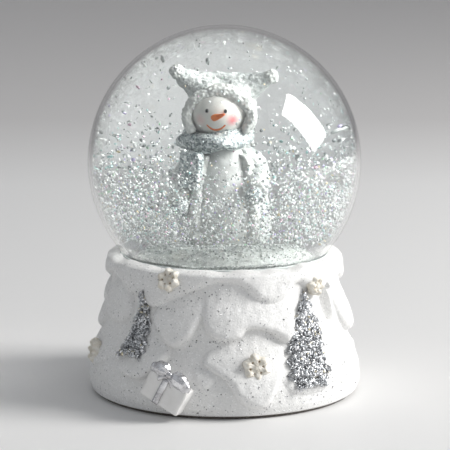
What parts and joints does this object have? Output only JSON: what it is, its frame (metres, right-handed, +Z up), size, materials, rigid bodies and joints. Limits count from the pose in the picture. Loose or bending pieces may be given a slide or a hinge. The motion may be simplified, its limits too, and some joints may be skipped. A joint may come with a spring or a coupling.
{
  "type": "snow globe",
  "caption": "Water-filled glass snow globe with a snowman in a hat and scarf, on a round cast base of snow drifts with fir trees, snowflakes and a gift box.",
  "frame": {"origin": "centre of the underside, on the surface the globe stands on", "axes": "+Z up through the middle of the glass ball, -Y towards the front, where the snowman faces, +X to the right seen from the front"},
  "size_m": [0.0654, 0.0692, 0.0873],
  "materials": {
    "pad_felt": "thin dark felt, matte",
    "snow_paint": "sandy matte white paint with sparse silver specks on cast resin",
    "snowflake_cream": "matte cream paint, brown in the hollows",
    "gift_white": "smooth satin white paint",
    "gift_silver": "bright silver paint",
    "tree_glitter": "silver glitter laid in glue",
    "globe_glass": "clear polished glass",
    "clear_adhesive": "clear silicone bead",
    "stopper_rubber": "smooth pale rubber",
    "ground_snow": "rough matte white snow",
    "settled_silver": "loose silver and pearl glitter lying on the ground",
    "snowman_white": "satin white paint",
    "coat_plush": "white paint over a plush texture, with fine silver glitter",
    "plush_trim": "white paint over a curly plush texture",
    "scarf_silver": "silver glitter laid in glue",
    "eye_black": "gloss black paint",
    "nose_orange": "satin orange paint",
    "mouth_brown": "satin brown paint",
    "globe_liquid": "clear water with a little glycerine",
    "flake_silver": "mirror-bright metallised film",
    "flake_pearl": "iridescent pearl film"
  },
  "bodies": {
    "root": {"adhesive_ring": "clear_adhesive", "base_casting": "snow_paint", "bobble_left": "plush_trim", "bobble_right": "plush_trim", "carrot_nose": "nose_orange", "coat": "coat_plush", "coat_edging": "plush_trim", "cuff_left": "plush_trim", "cuff_right": "plush_trim", "eyes": "eye_black", "felt_pad": "pad_felt", "gift_bow": "gift_silver", "gift_box": "gift_white", "gift_ribbon": "gift_silver", "glass_globe": "globe_glass", "hat": "coat_plush", "hat_brim": "plush_trim", "mitten_left": "scarf_silver", "mitten_right": "scarf_silver", "mouth": "mouth_brown", "rubber_stopper": "stopper_rubber", "scarf": "scarf_silver", "scarf_tail": "scarf_silver", "settled_glitter": "settled_silver", "sleeve_left": "coat_plush", "sleeve_right": "coat_plush", "snow_ground": "ground_snow", "snowflake_bosses": "snowflake_cream", "snowman_body": "snowman_white", "snowman_head": "snowman_white", "tree_back_left": "tree_glitter", "tree_back_right": "tree_glitter", "tree_left": "tree_glitter", "tree_right": "tree_glitter"},
    "swirl": {"liquid": "globe_liquid", "silver_flakes": "flake_silver", "pearl_flakes": "flake_pearl"}
  },
  "joints": [
    {"name": "liquid_swirl", "type": "hinge", "parent": "root", "child": "swirl", "pos_m": [0, 0, 0.0548], "axis": [0, 0, 1], "continuous": true}
  ]
}
